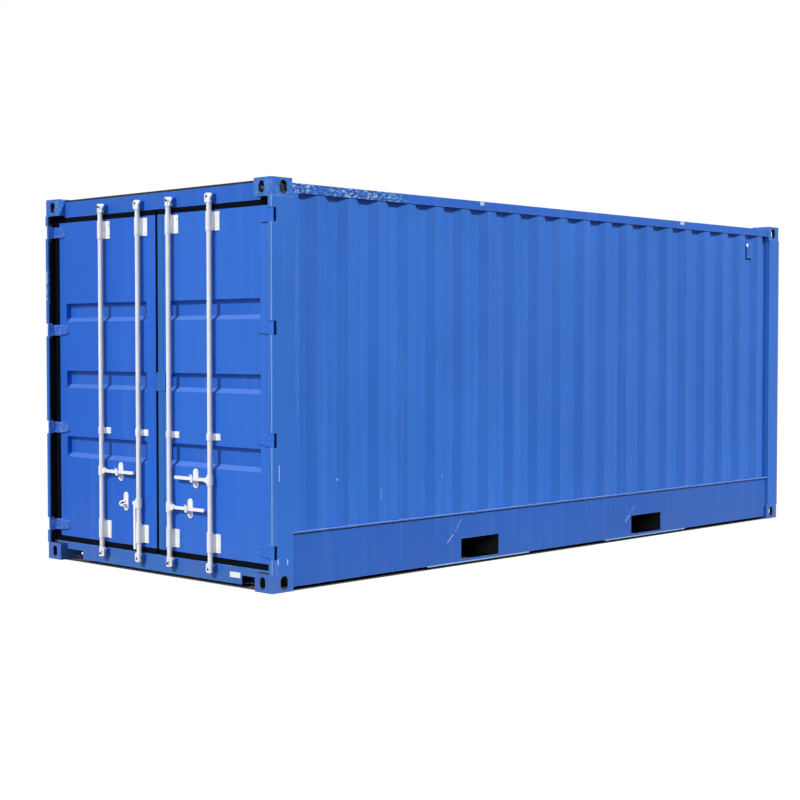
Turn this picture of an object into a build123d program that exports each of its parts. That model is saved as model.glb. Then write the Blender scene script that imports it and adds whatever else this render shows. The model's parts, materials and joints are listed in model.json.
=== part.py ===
from build123d import *
import math
import os

# A steel 20 ft dry-freight shipping container, with two hinged end doors and four lock rods.
# Millimetres. X is the width, Y the length, Z is up. The doors are at -Y and the origin is
# at the middle of the base, at the height of the feet of the corner castings.

# Overall size
LENGTH = 6058.0
WIDTH = 2438.0
HEIGHT = 2591.0

# Gap between two welded pieces that are kept as separate solids
WELD_GAP = 0.3
# Free space kept between pieces that move past each other
CLEARANCE = 5.0
# How far a cut runs past the face that it opens
CUT = 1.0

# Corner castings
CAST_L = 178.0
CAST_W = 162.0
CAST_H = 118.0
CAST_PLATE = 28.0
CAST_WALL = 16.0
CAST_RADIUS = 14.0
CAST_HOLE_L = 124.0
CAST_HOLE_W = 63.5
CAST_END_HOLE_W = 51.0
CAST_END_HOLE_H = 79.0
CAST_SIDE_HOLE_W = 63.5
CAST_SIDE_HOLE_H = 89.0
HOLE_FROM_END = 102.5
HOLE_FROM_SIDE = 89.5

# Door-end posts: a J section in front and a box section behind it
POST_PLATE = 10.0
POST_LIP = 30.0
POST_SIDE = 227.0
POST_WIDTH = 84.0
JAMB_Y = 117.0

# Rear-end posts
REAR_POST_SIDE = 155.0
REAR_POST_END = CAST_W
REAR_POST_PLATE = 8.0
REAR_POST_RETURN = 60.0

# Top side rails
TOP_RAIL = 60.0
TOP_RAIL_WALL = 3.0
TOP_RAIL_DROP = 28.0
TOP_RAIL_SETBACK = 4.0

# Bottom side rails, with the fork pocket cut-outs
SIDE_RAIL_BOTTOM = 24.0
SIDE_RAIL_TOP = 374.0
SIDE_RAIL_PLATE = 6.0
SIDE_RAIL_SETBACK = 20.0
SIDE_RAIL_LIP_SETBACK = 3.0
SIDE_RAIL_FLANGE = 49.0
POCKET_SPACING = 2050.0
POCKET_WIDTH = 412.0
POCKET_BOTTOM = 40.0
POCKET_TOP = 186.0
POCKET_PLATE = 4.0
STRAP_LENGTH = 1110.0
STRAP_PLATE = 8.0

# Corrugated side walls
WALL_SHEET = 2.0
WALL_SETBACK = 12.0
WALL_PITCH = 280.0
WALL_FLAT = 72.0
WALL_SLOPE = 68.0
WALL_DEPTH = 36.0
WALL_FIRST_CREST = 399.0

# Corrugated end wall
END_SHEET = 2.0
END_SETBACK = 6.0
END_PITCH = 250.0
END_FLAT = 110.0
END_SLOPE = 18.0
END_DEPTH = 46.0

# Corrugated roof
ROOF_SHEET = 2.0
ROOF_DROP = 23.0
ROOF_PITCH = 209.0
ROOF_FLAT = 91.0
ROOF_SLOPE = 14.0
ROOF_DEPTH = 18.0

# Door header, door sill and the rear-end rails
HEADER_FACE = 57.0
HEADER_DROP = 8.0
HEADER_HEIGHT = 123.0
HEADER_PLATE = 6.0
HEADER_STOP = 44.0
SILL_FACE = 57.0
SILL_BOTTOM = 18.0
SILL_TOP = 130.0
SILL_PLATE = 6.0
NOTCH_WIDTH = 191.0
NOTCH_TOP = 78.0
NOTCH_DEPTH = 70.0
REAR_RAIL_DEPTH = 64.0
REAR_SILL_TOP = 200.0

# Floor and cross members
FLOOR_TOP = 218.0
FLOOR_THICKNESS = 28.0
CROSS_FLANGE = 45.0
CROSS_HEIGHT = 122.0
CROSS_PLATE = 5.0
CROSS_PITCH = 330.0

# Door leaves
DOOR_FACE = 59.0
DOOR_THICKNESS = 50.0
DOOR_EDGE_FROM_SIDE = 89.0
GAP_OVER_DOOR = 37.0
GAP_UNDER_DOOR = 41.0
SEAM = 30.0
INNER_STILE = 100.0
OUTER_STILE = 80.0
RAIL = 100.0
SEAM_STRIP_WIDTH = 57.0
SEAM_STRIP_PLATE = 3.0
DOOR_SHEET = 3.0
RECESS_DEPTH = 36.0
RECESS_TOP_SLOPE = 12.0
RECESS_FOOT_SLOPE = 30.0

# Each recess: how far down the leaf its middle is, as a share of the leaf, and its height
RECESSES = ((0.286, 132.0), (0.498, 126.0), (0.712, 150.0))

# Door gasket, level with the leaf's face at the outer edges
GASKET_BACK = 6.0
GASKET_SEAM = 5.0
GASKET_EDGE = 70.0
SEAM_PLATE_HEIGHT = 124.0
SEAM_PLATE_OVERHANG = 2.0
SEAM_PLATE_REACH = 94.0
SEAM_PLATE_THICKNESS = 5.0

# Hinges
LOW_HINGE = 80.0
HIGH_HINGE = 66.0
# Each hinge blade from the foot up: its reach from the pin and the height of its tip
BLADES = ((178.0, 48.0), (178.0, 48.0), (178.0, 48.0), (141.0, 76.0))
PIN_FROM_SIDE = 17.0
PIN_FROM_END = 17.0
PIN_RADIUS = 9.0
PIN_FIT = 0.05
KNUCKLE_RADIUS = 14.0
KNUCKLE_HEIGHT = 86.0
NOTCH_HEIGHT = 90.0
NOTCH_BACK = 45.0
BLADE_HEIGHT = 76.0
BLADE_PLATE = 12.0
BLADE_TIP_PLATE = 5.0
BLADE_TIP_BEVEL = 14.0
BLADE_ELBOW = 28.0
BLADE_NECK = 12.0
LUG_HEIGHT = 16.0

# Lock rods, in pairs each side of the door seam
ROD_INNER = 167.0
ROD_OUTER_SHARE = 0.523
ROD_RADIUS = 17.0
ROD_Y = 26.0
ROD_FIT = 0.5
CAM_RADIUS = 21.0
CAM_HEIGHT = 62.0
CAM_OVER_HEADER = 69.0
CAM_UNDER_SILL = 60.0
CAM_LOBE = 34.0
CAM_LOBE_THICKNESS = 22.0
CAM_LOBE_ROUNDING = 15.0
CAM_HOLE = 8.0
COLLAR_RADIUS = 21.0
COLLAR_HEIGHT = 12.0

# Keepers on the header and the sill, one for each cam
KEEPER_PLATE = 5.0
KEEPER_HEIGHT = 52.0
KEEPER_HORN = 6.0
KEEPER_REACH = 34.0

# Rod guides on the doors
GUIDE_WALL = 4.0
GUIDE_FLANGE = 70.0
GUIDE_PLATE = 5.0
END_GUIDE_HEIGHT = 122.0
MIDDLE_GUIDE_HEIGHT = 43.0
TOP_GUIDE_DROP = 135.0
BOTTOM_GUIDE_RISE = 29.0

# Handles and their catches
HANDLE_OUTER_RISE = 501.0
HANDLE_INNER_RISE = 299.0
HUB_RADIUS = 23.0
HUB_HEIGHT = 66.0
HUB_EAR = 6.0
HUB_ROOT = 60.0
HANDLE_PIVOT = 46.0
HANDLE_SHORT_OF_ROD = 58.0
HANDLE_HEIGHT = 22.0
HANDLE_ROUNDING = 10.0
HANDLE_THICKNESS = 10.0
HANDLE_EYE = 13.0
HANDLE_PIN = 6.0
CATCH_WIDTH = 52.0
CATCH_HEIGHT = 130.0
CATCH_PLATE = 5.0
CATCH_SHELF = 8.0
CATCH_SHELF_WIDTH = 26.0

# Ventilator covers near the top rear corners
VENT_BASE = 66.0
VENT_FACE = 98.0
VENT_HEIGHT = 141.0
VENT_DEPTH = 20.0
VENT_DROP = 218.0

# Places worked out from the sizes above
FRONT = -LENGTH / 2
REAR = LENGTH / 2
SIDE = WIDTH / 2
CAST_INNER_X = SIDE - CAST_W
CAST_INNER_Y = LENGTH / 2 - CAST_L
JAMB_X = SIDE - POST_WIDTH
JAMB_FACE = FRONT + JAMB_Y
POST_BACK = FRONT + POST_SIDE
REAR_POST_FRONT = REAR - REAR_POST_SIDE
REAR_RAIL_FRONT = REAR - END_SETBACK - REAR_RAIL_DEPTH
TOP_RAIL_OUTER = SIDE - TOP_RAIL_SETBACK
TOP_RAIL_INNER = TOP_RAIL_OUTER - TOP_RAIL
TOP_RAIL_TOP = HEIGHT - TOP_RAIL_DROP
TOP_RAIL_BOTTOM = TOP_RAIL_TOP - TOP_RAIL
SIDE_RAIL_INNER = SIDE - SIDE_RAIL_SETBACK - SIDE_RAIL_FLANGE
RAIL_WEB_X = SIDE - SIDE_RAIL_SETBACK - SIDE_RAIL_PLATE
WALL_FACE = SIDE - WALL_SETBACK
WALL_CREST_Y = FRONT + WALL_FIRST_CREST
WALL_CRESTS = 1 + int((REAR_POST_FRONT - WALL_FLAT - WALL_SLOPE - WALL_CREST_Y) // WALL_PITCH)
HEADER_TOP = HEIGHT - HEADER_DROP
HEADER_BOTTOM = HEADER_TOP - HEADER_HEIGHT
LEAF_FACE = FRONT + DOOR_FACE
LEAF_BACK = LEAF_FACE + DOOR_THICKNESS
LEAF_INNER_EDGE = SEAM / 2
DOOR_EDGE = SIDE - DOOR_EDGE_FROM_SIDE
DOOR_BOTTOM = SILL_TOP + GAP_UNDER_DOOR
DOOR_TOP = HEADER_BOTTOM - GAP_OVER_DOOR
LEAF_HEIGHT = DOOR_TOP - DOOR_BOTTOM
HINGE_STEP = (LEAF_HEIGHT - LOW_HINGE - HIGH_HINGE) / (len(BLADES) - 1)
HINGE_HEIGHTS = [DOOR_BOTTOM + LOW_HINGE + i * HINGE_STEP for i in range(len(BLADES))]
PIN_X = SIDE - PIN_FROM_SIDE
PIN_Y = FRONT + PIN_FROM_END
ROD_AXIS_Y = FRONT + ROD_Y
ROD_OUTER = DOOR_EDGE * ROD_OUTER_SHARE
GUIDE_FACE = LEAF_FACE - GUIDE_PLATE
CAM_TOP = HEADER_BOTTOM + CAM_OVER_HEADER
CAM_BOTTOM = SILL_TOP - CAM_UNDER_SILL
CAM_SWEEP = math.hypot(CAM_LOBE, CAM_LOBE_THICKNESS / 2)
HANDLE_LENGTH = ROD_OUTER - ROD_INNER - HANDLE_SHORT_OF_ROD
CATCH_OFFSET = HANDLE_LENGTH / 2
HANDLE_OUTER_Z = DOOR_BOTTOM + HANDLE_OUTER_RISE
HANDLE_INNER_Z = DOOR_BOTTOM + HANDLE_INNER_RISE
BOTTOM_GUIDE = (DOOR_BOTTOM + BOTTOM_GUIDE_RISE, END_GUIDE_HEIGHT)
MIDDLE_GUIDE = (HINGE_HEIGHTS[1] - MIDDLE_GUIDE_HEIGHT / 2, MIDDLE_GUIDE_HEIGHT)
TOP_GUIDE = (DOOR_TOP - TOP_GUIDE_DROP, END_GUIDE_HEIGHT)


def block(x0, x1, y0, y1, z0, z1):
    """A plain box between two corners, given in any order."""
    low = (min(x0, x1), min(y0, y1), min(z0, z1))
    size = (abs(x1 - x0), abs(y1 - y0), abs(z1 - z0))
    return Pos(*low) * Box(*size, align=(Align.MIN, Align.MIN, Align.MIN))


def upright(points, z0, z1):
    """A plan outline in X and Y, raised from z0 to z1."""
    face = make_face(Polyline(*points, close=True))
    return Pos(0, 0, z0) * extrude(face, amount=z1 - z0, dir=(0, 0, 1))


def crosswise(points, x0, x1):
    """A side outline in Y and Z, run across the width from x0 to x1."""
    face = Plane.YZ * make_face(Polyline(*points, close=True))
    return Pos(x0, 0, 0) * extrude(face, amount=x1 - x0, dir=(1, 0, 0))


def lengthwise(points, y0, y1):
    """An end outline in X and Z, run along the length from y0 to y1."""
    face = Plane.XZ * make_face(Polyline(*points, close=True))
    return Pos(0, y0, 0) * extrude(face, amount=y1 - y0, dir=(0, 1, 0))


def disc(x, y, z0, z1, radius):
    """An upright round bar."""
    return Pos(x, y, z0) * Cylinder(radius, z1 - z0, align=(Align.CENTER, Align.CENTER, Align.MIN))


def mirrored(shape):
    """The same piece on the other side of the container."""
    return shape.mirror(Plane.YZ)


def both_sides(solids):
    return list(solids) + [mirrored(solid) for solid in solids]


def save(name, solids):
    """Write one node, as one solid or as several that don't touch."""
    pieces = []
    for solid in solids if isinstance(solids, (list, tuple)) else [solids]:
        pieces.extend(solid.solids())
    shape = pieces[0] if len(pieces) == 1 else Compound(children=pieces)
    export_step(shape, f"parts/{name}.step")


def stadium(width, height, depth, plane):
    """A long round-ended hole, width along the plane's first axis."""
    if width > height:
        outline = SlotOverall(width, height)
    else:
        outline = SlotOverall(height, width, rotation=90)
    return extrude(plane * outline, amount=depth, both=True)


def casting():
    """The corner casting of the near right foot, its holes facing down, -Y and +X."""
    body = block(CAST_INNER_X, SIDE, FRONT, FRONT + CAST_L, 0, CAST_H)
    corner = body.edges().filter_by(Axis.Z).sort_by(lambda e: e.center().X - e.center().Y)[-1]
    body = fillet(corner, CAST_RADIUS)
    cavity = block(CAST_INNER_X + CAST_WALL, SIDE - CAST_WALL, FRONT + CAST_WALL,
                   FRONT + CAST_L - CAST_WALL, CAST_PLATE, CAST_H - CAST_WALL)
    hole_x = SIDE - HOLE_FROM_SIDE
    hole_y = FRONT + HOLE_FROM_END
    middle = CAST_H / 2
    foot_hole = stadium(CAST_HOLE_W, CAST_HOLE_L, CAST_PLATE + CUT, Plane((hole_x, hole_y, 0)))
    end_plane = Plane(origin=(hole_x, FRONT, middle), x_dir=(1, 0, 0), z_dir=(0, -1, 0))
    end_hole = stadium(CAST_END_HOLE_W, CAST_END_HOLE_H, CAST_WALL + CUT, end_plane)
    side_plane = Plane(origin=(SIDE, hole_y, middle), x_dir=(0, 1, 0), z_dir=(1, 0, 0))
    side_hole = stadium(CAST_SIDE_HOLE_W, CAST_SIDE_HOLE_H, CAST_WALL + CUT, side_plane)
    return body - cavity - foot_hole - end_hole - side_hole


def four_castings(corner):
    """One casting at each corner of the base, or of the roof."""
    pair = both_sides([corner])
    return pair + [solid.mirror(Plane.XZ) for solid in pair]


def hinge_cut(z):
    """The room cut out of a door post for one hinge, at the height z."""
    low = z - KNUCKLE_HEIGHT / 2 - WELD_GAP
    return block(JAMB_X + POST_PLATE, SIDE + CUT, FRONT - CUT, FRONT + NOTCH_BACK,
                 low, low + NOTCH_HEIGHT)


def hinge_lugs_and_pin(z):
    """The two lugs inside the post's lip, and the pin between them."""
    low = z - KNUCKLE_HEIGHT / 2 - WELD_GAP
    high = low + NOTCH_HEIGHT
    x0 = PIN_X - KNUCKLE_RADIUS
    x1 = SIDE - POST_PLATE
    y0 = FRONT + POST_PLATE
    y1 = PIN_Y + KNUCKLE_RADIUS
    lower = block(x0, x1, y0, y1, low - LUG_HEIGHT, low)
    upper = block(x0, x1, y0, y1, high, high + LUG_HEIGHT)
    lip_x = SIDE - POST_LIP
    lower += block(lip_x, x1, FRONT + CUT, y0, low - LUG_HEIGHT, low)
    upper += block(lip_x, x1, FRONT + CUT, y0, high, high + LUG_HEIGHT)
    pin = disc(PIN_X, PIN_Y, low - LUG_HEIGHT, high + LUG_HEIGHT, PIN_RADIUS)
    return lower + upper + pin


def door_post():
    """The right door post: J section, box section behind it, hinge lugs and pins."""
    lip_x = SIDE - POST_LIP
    skin = SIDE - POST_PLATE
    outline = [(lip_x, FRONT), (SIDE, FRONT), (SIDE, POST_BACK), (JAMB_X, POST_BACK),
               (JAMB_X, JAMB_FACE), (skin, JAMB_FACE), (skin, FRONT + POST_PLATE),
               (lip_x, FRONT + POST_PLATE)]
    low = CAST_H
    high = HEIGHT - CAST_H
    post = upright(outline, low, TOP_RAIL_BOTTOM)
    post -= block(JAMB_X + POST_PLATE, skin, JAMB_FACE + POST_PLATE, POST_BACK - POST_PLATE,
                  low - CUT, TOP_RAIL_BOTTOM + CUT)
    over_casting = block(CAST_INNER_X, SIDE + CUT, FRONT - CUT, FRONT + CAST_L, high, HEIGHT)
    beside_rail = block(JAMB_X - CUT, SIDE + CUT, FRONT + CAST_L, POST_BACK + CUT,
                        low - CUT, SIDE_RAIL_TOP)
    post = post - over_casting - beside_rail
    for z in HINGE_HEIGHTS:
        post -= hinge_cut(z)
        post += hinge_lugs_and_pin(z)
    return post


def rear_post():
    """The right rear post, an angle with returned edges."""
    t = REAR_POST_PLATE
    back = REAR_POST_RETURN
    end_x = SIDE - REAR_POST_END
    outline = [(SIDE, REAR), (end_x, REAR), (end_x, REAR - back), (end_x + t, REAR - back),
               (end_x + t, REAR - t), (SIDE - t, REAR - t), (SIDE - t, REAR_POST_FRONT + t),
               (SIDE - back, REAR_POST_FRONT + t), (SIDE - back, REAR_POST_FRONT),
               (SIDE, REAR_POST_FRONT)]
    return upright(outline, CAST_H, HEIGHT - CAST_H)


def top_rail():
    """The right top side rail, a square tube between the top castings."""
    y0 = -CAST_INNER_Y
    y1 = CAST_INNER_Y
    t = TOP_RAIL_WALL
    tube = block(TOP_RAIL_INNER, TOP_RAIL_OUTER, y0, y1, TOP_RAIL_BOTTOM, TOP_RAIL_TOP)
    return tube - block(TOP_RAIL_INNER + t, TOP_RAIL_OUTER - t, y0 - CUT, y1 + CUT,
                        TOP_RAIL_BOTTOM + t, TOP_RAIL_TOP - t)


def side_rail():
    """The right bottom side rail: a channel with a lip at its top and two fork cut-outs."""
    t = SIDE_RAIL_PLATE
    web = SIDE - SIDE_RAIL_SETBACK
    lip = SIDE - SIDE_RAIL_LIP_SETBACK
    inner = SIDE_RAIL_INNER
    top = SIDE_RAIL_TOP
    low = SIDE_RAIL_BOTTOM
    outline = [(lip, top), (inner, top), (inner, top - t), (web - t, top - t), (web - t, low + t),
               (inner, low + t), (inner, low), (web, low), (web, top - 2 * t), (lip, top - 2 * t)]
    rail = lengthwise(outline, -CAST_INNER_Y, REAR_POST_FRONT)
    rail -= block(inner - CUT, SIDE, CAST_INNER_Y, REAR, 0, CAST_H)
    for y in (-POCKET_SPACING / 2, POCKET_SPACING / 2):
        rail -= block(inner - CUT, SIDE, y - POCKET_WIDTH / 2, y + POCKET_WIDTH / 2,
                      POCKET_BOTTOM, POCKET_TOP)
    return rail


def pocket_plates():
    """The plates of the two fork pockets, and the straps under the side rails."""
    plates = []
    reach = RAIL_WEB_X - WELD_GAP
    for y in (-POCKET_SPACING / 2, POCKET_SPACING / 2):
        y0 = y - POCKET_WIDTH / 2
        y1 = y + POCKET_WIDTH / 2
        plates.append(block(-reach, reach, y0, y1, POCKET_TOP, POCKET_TOP + POCKET_PLATE - WELD_GAP))
        for edge, out in ((y0, -1), (y1, 1)):
            plates.append(block(-reach, reach, edge, edge + out * POCKET_PLATE,
                                SIDE_RAIL_BOTTOM + SIDE_RAIL_PLATE, POCKET_TOP - WELD_GAP))
        for side in (-1, 1):
            plates.append(block(side * SIDE_RAIL_INNER, side * (SIDE - SIDE_RAIL_SETBACK),
                                y - STRAP_LENGTH / 2, y + STRAP_LENGTH / 2,
                                SIDE_RAIL_BOTTOM - STRAP_PLATE, SIDE_RAIL_BOTTOM))
    return plates


def wave(crests, pitch, flat, slope, first):
    """Corner places along a corrugated sheet: (place, 0 on the crest or 1 in the valley)."""
    corners = []
    for i in range(crests):
        start = first + i * pitch
        corners.append((start, 0))
        corners.append((start + flat, 0))
        corners.append((start + flat + slope, 1))
        corners.append((start + pitch - slope, 1))
    return corners[:-2]


def side_wall():
    """The right side wall, one corrugated sheet between the posts."""
    y0 = POST_BACK
    y1 = REAR_POST_FRONT
    corners = wave(WALL_CRESTS, WALL_PITCH, WALL_FLAT, WALL_SLOPE, WALL_CREST_Y)
    path = [(y0, 1), (WALL_CREST_Y - WALL_SLOPE, 1)] + corners
    path += [(corners[-1][0] + WALL_SLOPE, 1), (y1, 1)]
    outer = [(WALL_FACE - down * WALL_DEPTH, y) for y, down in path]
    inner = [(x - WALL_SHEET, y) for x, y in reversed(outer)]
    wall = upright(outer + inner, SIDE_RAIL_TOP, TOP_RAIL_BOTTOM)
    return wall - block(CAST_INNER_X, SIDE, CAST_INNER_Y, REAR, HEIGHT - CAST_H, HEIGHT)


def end_wall():
    """The rear wall, corrugated across the width."""
    half = SIDE - REAR_POST_END
    crests = 1 + int((2 * half - END_FLAT - 2 * END_SLOPE) // END_PITCH)
    run = (crests - 1) * END_PITCH + END_FLAT
    corners = wave(crests, END_PITCH, END_FLAT, END_SLOPE, -run / 2)
    path = [(-half, 1), (-run / 2 - END_SLOPE, 1)] + corners + [(run / 2 + END_SLOPE, 1), (half, 1)]
    face = REAR - END_SETBACK
    outer = [(x, face - down * END_DEPTH) for x, down in path]
    inner = [(x, y - END_SHEET) for x, y in reversed(outer)]
    return upright(outer + inner, REAR_SILL_TOP, TOP_RAIL_BOTTOM)


def roof():
    """The roof, one sheet with corrugations across it, each closed at its ends."""
    y0 = POST_BACK
    y1 = REAR_RAIL_FRONT
    crests = 1 + int((y1 - y0 - ROOF_FLAT - 2 * ROOF_SLOPE) // ROOF_PITCH)
    run = (crests - 1) * ROOF_PITCH + ROOF_FLAT
    first = (y0 + y1 - run) / 2
    corners = wave(crests, ROOF_PITCH, ROOF_FLAT, ROOF_SLOPE, first)
    path = [(y0, 1), (first - ROOF_SLOPE, 1)] + corners + [(first + run + ROOF_SLOPE, 1), (y1, 1)]
    upper = [(y, HEIGHT - ROOF_DROP - down * ROOF_DEPTH) for y, down in path]
    lower = [(y, z - ROOF_SHEET) for y, z in reversed(upper)]
    sheet = crosswise(upper + lower, -TOP_RAIL_INNER, TOP_RAIL_INNER)
    filled = upper + [lower[0], lower[-1]]
    for side in (-1, 1):
        edge = side * TOP_RAIL_INNER
        sheet += crosswise(filled, edge - side * ROOF_SHEET, edge)
        sheet -= block(side * CAST_INNER_X, side * SIDE, CAST_INNER_Y, REAR, HEIGHT - CAST_H, HEIGHT)
    return sheet


def door_header():
    """The beam over the doors, with the flange that the doors close against."""
    y0 = FRONT + HEADER_FACE
    y1 = POST_BACK
    t = HEADER_PLATE
    beam = block(-CAST_INNER_X, CAST_INNER_X, y0, y1, HEADER_BOTTOM, HEADER_TOP)
    beam -= block(-CAST_INNER_X - CUT, CAST_INNER_X + CUT, y0 + t, y1 - t,
                  HEADER_BOTTOM + t, HEADER_TOP - t)
    stop = block(-JAMB_X, JAMB_X, JAMB_FACE, JAMB_FACE + t, HEADER_BOTTOM - HEADER_STOP,
                 HEIGHT - CAST_H)
    for side in (-1, 1):
        beam += block(side * CAST_INNER_X, side * TOP_RAIL_INNER, -CAST_INNER_Y, y1,
                      HEADER_TOP - t, HEADER_TOP)
    return beam + stop


def door_sill():
    """The beam under the doors: threshold, step behind the doors and end notches."""
    y0 = FRONT + SILL_FACE
    y1 = POST_BACK
    t = SILL_PLATE
    outline = [(y0, SILL_BOTTOM), (y1, SILL_BOTTOM), (y1, FLOOR_TOP), (JAMB_FACE, FLOOR_TOP),
               (JAMB_FACE, SILL_TOP), (y0, SILL_TOP)]
    hollow = [(y0 + t, SILL_BOTTOM + t), (y1 - t, SILL_BOTTOM + t), (y1 - t, FLOOR_TOP - t),
              (JAMB_FACE + t, FLOOR_TOP - t), (JAMB_FACE + t, SILL_TOP - t), (y0 + t, SILL_TOP - t)]
    sill = crosswise(outline, -CAST_INNER_X, CAST_INNER_X)
    sill -= crosswise(hollow, -CAST_INNER_X - CUT, CAST_INNER_X + CUT)
    for side in (-1, 1):
        sill -= block(side * (CAST_INNER_X - NOTCH_WIDTH), side * (CAST_INNER_X + CUT),
                      y0 - CUT, y0 + NOTCH_DEPTH, SILL_BOTTOM - CUT, NOTCH_TOP)
        sill += block(side * CAST_INNER_X, side * JAMB_X, JAMB_FACE, JAMB_FACE + t, CAST_H, FLOOR_TOP)
        sill += block(side * CAST_INNER_X, side * JAMB_X, JAMB_FACE, y1, FLOOR_TOP - t, FLOOR_TOP)
        sill += block(side * CAST_INNER_X, side * (SIDE - POST_PLATE), y0, JAMB_FACE, CAST_H, SILL_TOP)
    return sill


def rear_rail(z0, z1):
    """A hollow rail between the rear castings."""
    y1 = REAR - END_SETBACK
    y0 = y1 - REAR_RAIL_DEPTH
    t = HEADER_PLATE
    rail = block(-CAST_INNER_X, CAST_INNER_X, y0, y1, z0, z1)
    return rail - block(-CAST_INNER_X - CUT, CAST_INNER_X + CUT, y0 + t, y1 - t, z0 + t, z1 - t)


def floor_boards():
    """The plywood floor, between the side rails and narrower between the rear posts."""
    z0 = FLOOR_TOP - FLOOR_THICKNESS
    wide = RAIL_WEB_X - WELD_GAP
    y1 = REAR_POST_FRONT - WELD_GAP
    narrow = SIDE - REAR_POST_RETURN - CLEARANCE
    boards = block(-wide, wide, POST_BACK, y1, z0, FLOOR_TOP)
    return boards + block(-narrow, narrow, y1, REAR_RAIL_FRONT, z0, FLOOR_TOP)


def cross_members():
    """Channels under the floor, left out where the fork pockets run."""
    members = []
    top = FLOOR_TOP - FLOOR_THICKNESS
    low = top - CROSS_HEIGHT
    t = CROSS_PLATE
    reach = RAIL_WEB_X - WELD_GAP
    last = REAR_RAIL_FRONT - CROSS_FLANGE
    y = POST_BACK + CROSS_PITCH / 2
    while y < last:
        in_pocket = abs(abs(y + CROSS_FLANGE / 2) - POCKET_SPACING / 2) < POCKET_WIDTH / 2 + CROSS_FLANGE
        if not in_pocket:
            outline = [(y, low), (y + CROSS_FLANGE, low), (y + CROSS_FLANGE, low + t), (y + t, low + t),
                       (y + t, top - t), (y + CROSS_FLANGE, top - t), (y + CROSS_FLANGE, top), (y, top)]
            members.append(crosswise(outline, -reach, reach))
        y += CROSS_PITCH
    return members


def keeper(x, nose, face, z_mid):
    """One cam keeper: a base plate and two rounded horns, wider apart on the cam nose's side."""
    z0 = z_mid - KEEPER_HEIGHT / 2
    z1 = z_mid + KEEPER_HEIGHT / 2
    lobe_side = CAM_SWEEP + CLEARANCE
    plain_side = CAM_RADIUS + CLEARANCE
    left = plain_side if nose > 0 else lobe_side
    right = lobe_side if nose > 0 else plain_side
    front = face - KEEPER_PLATE
    body = block(x - left - KEEPER_HORN, x + right + KEEPER_HORN, front, face, z0, z1)
    for horn_x in (x - left - KEEPER_HORN, x + right):
        side_plane = Plane(origin=(horn_x, front, z_mid), x_dir=(0, 1, 0), z_dir=(1, 0, 0))
        horn = extrude(side_plane * Ellipse(KEEPER_REACH, KEEPER_HEIGHT / 2), amount=KEEPER_HORN)
        body += horn - block(horn_x - CUT, horn_x + KEEPER_HORN + CUT, front, face + KEEPER_REACH, z0, z1)
    return body


def keepers():
    """The keepers on the header and the sill."""
    solids = []
    for x, nose in ((ROD_INNER, 1), (ROD_OUTER, -1)):
        top = keeper(x, nose, FRONT + HEADER_FACE, CAM_TOP - CAM_HEIGHT / 2)
        foot = keeper(x, nose, FRONT + SILL_FACE, CAM_BOTTOM + CAM_HEIGHT / 2)
        solids += both_sides([top, foot])
    return solids


def vent():
    """The ventilator cover in the last valley of the right wall."""
    last_crest = WALL_CREST_Y + (WALL_CRESTS - 1) * WALL_PITCH
    y = last_crest - (WALL_PITCH - WALL_FLAT) / 2
    x = WALL_FACE - WALL_DEPTH
    middle = HEIGHT - VENT_DROP
    outline = [(x, y - VENT_BASE / 2), (x + VENT_DEPTH, y - VENT_FACE / 2),
               (x + VENT_DEPTH, y + VENT_FACE / 2), (x, y + VENT_BASE / 2)]
    return upright(outline, middle - VENT_HEIGHT / 2, middle + VENT_HEIGHT / 2)


def door_frame(strip):
    """The right leaf's stiles and rails, welded round the pressed sheet.

    The strip is a flat bar down the inner stile, beside the seam."""
    y0 = LEAF_FACE
    y1 = LEAF_BACK
    x0 = LEAF_INNER_EDGE + INNER_STILE
    x1 = DOOR_EDGE - OUTER_STILE
    inner = block(LEAF_INNER_EDGE, x0, y0, y1, DOOR_BOTTOM, DOOR_TOP)
    outer = block(x1, DOOR_EDGE, y0, y1, DOOR_BOTTOM, DOOR_TOP)
    foot = block(x0 + WELD_GAP, x1 - WELD_GAP, y0, y1, DOOR_BOTTOM, DOOR_BOTTOM + RAIL)
    head = block(x0 + WELD_GAP, x1 - WELD_GAP, y0, y1, DOOR_TOP - RAIL, DOOR_TOP)
    if strip:
        inner += block(LEAF_INNER_EDGE, LEAF_INNER_EDGE + SEAM_STRIP_WIDTH, y0 - SEAM_STRIP_PLATE, y0,
                       DOOR_BOTTOM, DOOR_TOP)
    return [inner, outer, foot, head]


def recess_middle(down):
    """The height of a recess's middle, from its share of the leaf below the leaf's top."""
    return DOOR_TOP - down * LEAF_HEIGHT


def door_sheet():
    """The right leaf's pressed sheet, with its three flat-bottomed recesses."""
    y = LEAF_FACE
    deep = y + RECESS_DEPTH
    path = [(y, DOOR_BOTTOM + RAIL)]
    for down, height in reversed(RECESSES):
        low = recess_middle(down) - height / 2
        high = low + height
        path += [(y, low), (deep, low + RECESS_FOOT_SLOPE), (deep, high - RECESS_TOP_SLOPE), (y, high)]
    path.append((y, DOOR_TOP - RAIL))
    back = [(place + DOOR_SHEET, z) for place, z in reversed(path)]
    return crosswise(path + back, LEAF_INNER_EDGE + INNER_STILE, DOOR_EDGE - OUTER_STILE)


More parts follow.
